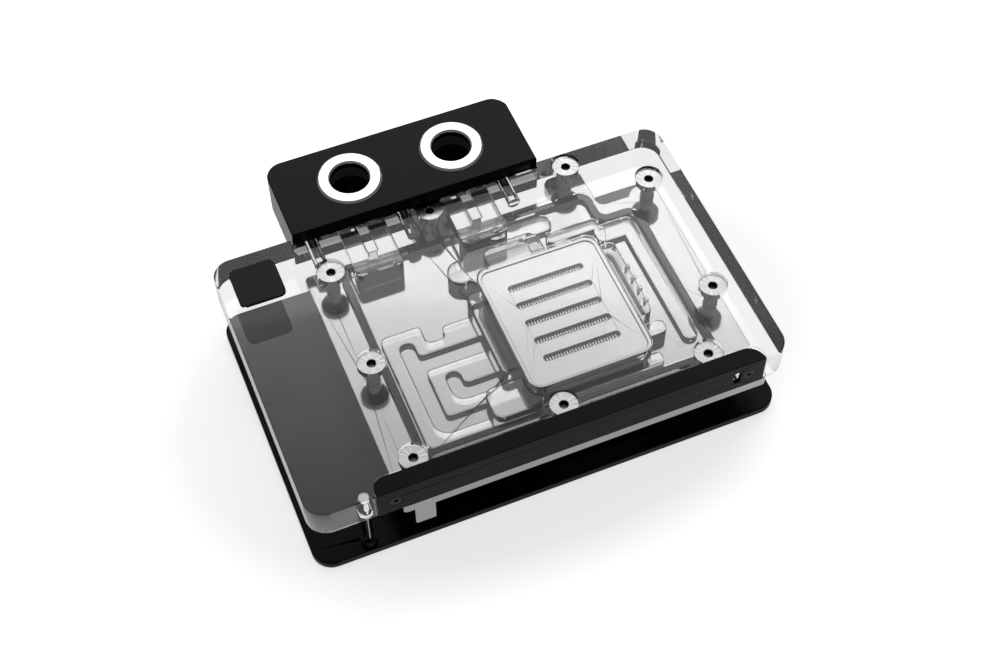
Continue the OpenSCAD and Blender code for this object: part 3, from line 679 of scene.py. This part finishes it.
def makeTerminal(s):
    piece = cadCopy("terminal_body", "portTerminal")
    roundEdges(piece, s["edge"], 2, terminalTop)
    for x, y, side in portRing["places"]:
        cutter = threadCutter(s)
        moveMesh(cutter, spot(x, y))
        makeActive(piece)
        cut = piece.modifiers.new("thread", "BOOLEAN")
        cut.object = cutter
        cut.solver = "EXACT"
        bpy.ops.object.modifier_apply(modifier="thread")
        bpy.data.objects.remove(cutter)
    finishPiece(piece, "terminal_body", finishes["terminal"])
    # the faces inside the ports take the lighter black, a painted light in the bore
    piece.data.materials.append(finishes["bore"])
    boreRadius, boreTop = s["bore"]
    for face in piece.data.polygons:
        for x, y, side in portRing["places"]:
            if (face.center - spot(x, y)).xy.length < boreRadius * mm and face.center.z < boreTop * mm:
                face.material_index = 1


makeTerminal(terminal)
print("terminal made")

# Plates, strip, seal and small parts with their broken edges
def plateFaces(a, b):
    # both faces of the cold plate, but not the lower edge at its front
    lower = level(stack["plate"])(a, b) and min(a.y, b.y) > -45
    return level(stack["cover"])(a, b) or lower


def jetTop(a, b):
    return min(a.z, b.z) > 26.7


brokenEdges = [
    # node, name, width, segments, edges, finish
    ("cold_plate", "coldPlate", 0.25, 2, plateFaces, "nickel"),
    ("jet_plate", "jetPlate", 0.12, 2, jetTop, "sheet"),
    ("main_seal", "mainSeal", 0.5, 3, anyEdge, "cord"),
    ("light_strip_cover", "stripCover", 0.18, 2, anyEdge, "anodised"),
    ("backplate", "backPlate", 0.3, 3, anyEdge, "anodised"),
    ("badge", "bareBadge", 0.15, 2, anyEdge, "badge"),
    ("strip_screws", "stripScrews", 0.08, 2, anyEdge, "oxide"),
    ("corner_post", "cornerPost", 0.15, 2, anyEdge, "post"),
    ("led_lamps", "lampRow", 0.15, 2, anyEdge, "lamp"),
]
for node, name, width, segments, wanted, finish in brokenEdges:
    piece = cadCopy(node, name)
    roundEdges(piece, width, segments, wanted)
    finishPiece(piece, node, finishes[finish])

dressed = {"terminal_seals": "faceSeal", "terminal_screws": "shank", "led_board": "board",
           "backplate_spacers": "spacer", "backplate_screws": "oxide", "plate_standoffs": "brass"}
for node, finish in dressed.items():
    dressNode(node, finishes[finish])
print("plates, strip and small parts made")

# Floor, light and camera
studio = {
    "floor": 6.0, "floorTone": 0.8, "drop": 0.0001,
    # the lower glow beside the block paints a shadow round it, which fades out between near and far
    "paintedShadowGlow": 0.72, "glowFar": 1.0,        # how white the floor looks beside the block and away from it
    "glowThrough": 0.3, "glowMirror": 0.4,   # the same through the clear plate and in the metal
    "near": 0.062, "far": 0.088, "stretch": (0.65, 1, 1),
    "dim": 0.12,                             # what the dark parts of the room give
    "boxAzimuth": 157.6, "boxHalf": 24, "boxSoft": 8,
    # brightness of the softbox at each elevation, with its upper edge at 54 degrees
    "rise": [(3, 0.9), (12, 1.45), (53.9, 1.5), (54.3, 0.98), (62, 0.42), (80, 0.25)],
}
camera = {"place": (-0.10764, -0.26504, 0.43075), "azimuth": -22.37, "elevation": 55.33, "roll": -0.1,
          "lens": 61.15, "sensor": 36}


def makeFloor(s):
    deselectAll()
    bpy.ops.mesh.primitive_plane_add(size=s["floor"], location=(0, 0, -s["drop"]))
    floor = bpy.context.object
    floor.name = "floor"
    finish, tree, shader = newFinish("paleFloor")
    shader.inputs["Roughness"].default_value = 0.9
    shader.inputs["Specular IOR Level"].default_value = 0.1
    shader.inputs["Base Color"].default_value = (s["floorTone"],) * 3 + (1,)
    path = addNode(tree, "ShaderNodeLightPath")
    away = addNode(tree, "ShaderNodeVectorMath", operation="LENGTH")
    tree.links.new(objectPoint(tree, s["stretch"]), away.inputs[0])
    # painted shadow: the glow the camera sees rises from the block outwards
    reach = spread(tree, away.outputs["Value"], s["paintedShadowGlow"], s["glowFar"], s["near"], s["far"])
    dim = addNode(tree, "ShaderNodeMath", operation="MULTIPLY")
    tree.links.new(reach, dim.inputs[0])
    tree.links.new(path.outputs["Is Camera Ray"], dim.inputs[1])
    total = dim.outputs["Value"]
    for ray, glow in (("Is Transmission Ray", s["glowThrough"]), ("Is Glossy Ray", s["glowMirror"])):
        more = addNode(tree, "ShaderNodeMath", operation="MULTIPLY_ADD")
        tree.links.new(path.outputs[ray], more.inputs[0])
        more.inputs[1].default_value = glow
        tree.links.new(total, more.inputs[2])
        total = more.outputs["Value"]
    shader.inputs["Emission Color"].default_value = (1, 1, 1, 1)
    tree.links.new(total, shader.inputs["Emission Strength"])
    floor.data.materials.append(finish)


def makeWorld(s):
    # the room: a tall softbox behind the block, dim everywhere else, and white where the camera looks past
    world = bpy.data.worlds.new("studio")
    bpy.context.scene.world = world
    world.use_nodes = True
    tree = world.node_tree
    back = tree.nodes["Background"]
    coords = addNode(tree, "ShaderNodeTexCoord")
    split = addNode(tree, "ShaderNodeSeparateXYZ")
    tree.links.new(coords.outputs["Generated"], split.inputs["Vector"])
    flat = addNode(tree, "ShaderNodeVectorMath", operation="MULTIPLY")
    flat.inputs[1].default_value = (1, 1, 0)
    tree.links.new(coords.outputs["Generated"], flat.inputs[0])
    unit = addNode(tree, "ShaderNodeVectorMath", operation="NORMALIZE")
    tree.links.new(flat.outputs["Vector"], unit.inputs[0])
    facing = addNode(tree, "ShaderNodeVectorMath", operation="DOT_PRODUCT")
    turn = math.radians(s["boxAzimuth"])
    facing.inputs[1].default_value = (math.sin(turn), -math.cos(turn), 0)
    tree.links.new(unit.outputs["Vector"], facing.inputs[0])
    outside = math.cos(math.radians(s["boxHalf"] + s["boxSoft"]))
    inside = math.cos(math.radians(s["boxHalf"]))
    sector = spread(tree, facing.outputs["Value"], 0, 1, outside, inside)
    rise = addNode(tree, "ShaderNodeValToRGB")
    stops = rise.color_ramp.elements
    for index, (elevation, tone) in enumerate(s["rise"]):
        at = math.sin(math.radians(elevation))
        stop = stops[index] if index < 2 else stops.new(at)
        stop.position = at
        stop.color = (tone, tone, tone, 1)
    tree.links.new(split.outputs["Z"], rise.inputs["Fac"])
    lit = addNode(tree, "ShaderNodeMath", operation="MULTIPLY_ADD")
    tree.links.new(rise.outputs["Color"], lit.inputs[0])
    tree.links.new(sector, lit.inputs[1])
    lit.inputs[2].default_value = s["dim"]
    path = addNode(tree, "ShaderNodeLightPath")
    strength = addNode(tree, "ShaderNodeMix")
    tree.links.new(path.outputs["Is Camera Ray"], strength.inputs["Factor"])
    tree.links.new(lit.outputs["Value"], strength.inputs["A"])
    strength.inputs["B"].default_value = 1.0
    tree.links.new(strength.outputs["Result"], back.inputs["Strength"])
    back.inputs["Color"].default_value = (1, 1, 1, 1)


def makeCamera(s):
    bpy.ops.object.camera_add(location=s["place"])
    eye = bpy.context.object
    eye.name = "productCamera"
    pan = Matrix.Rotation(math.radians(s["azimuth"]), 3, "Z")
    tilt = Matrix.Rotation(math.radians(90 - s["elevation"]), 3, "X")
    roll = Matrix.Rotation(math.radians(s["roll"]), 3, "Z")
    eye.rotation_euler = (pan @ tilt @ roll).to_euler()
    eye.data.sensor_width = s["sensor"]
    eye.data.lens = s["lens"]
    eye.data.clip_start, eye.data.clip_end = 0.01, 20
    bpy.context.scene.camera = eye


makeFloor(studio)
makeWorld(studio)
makeCamera(camera)
bpy.context.scene.view_settings.view_transform = "Standard"
print("studio made")
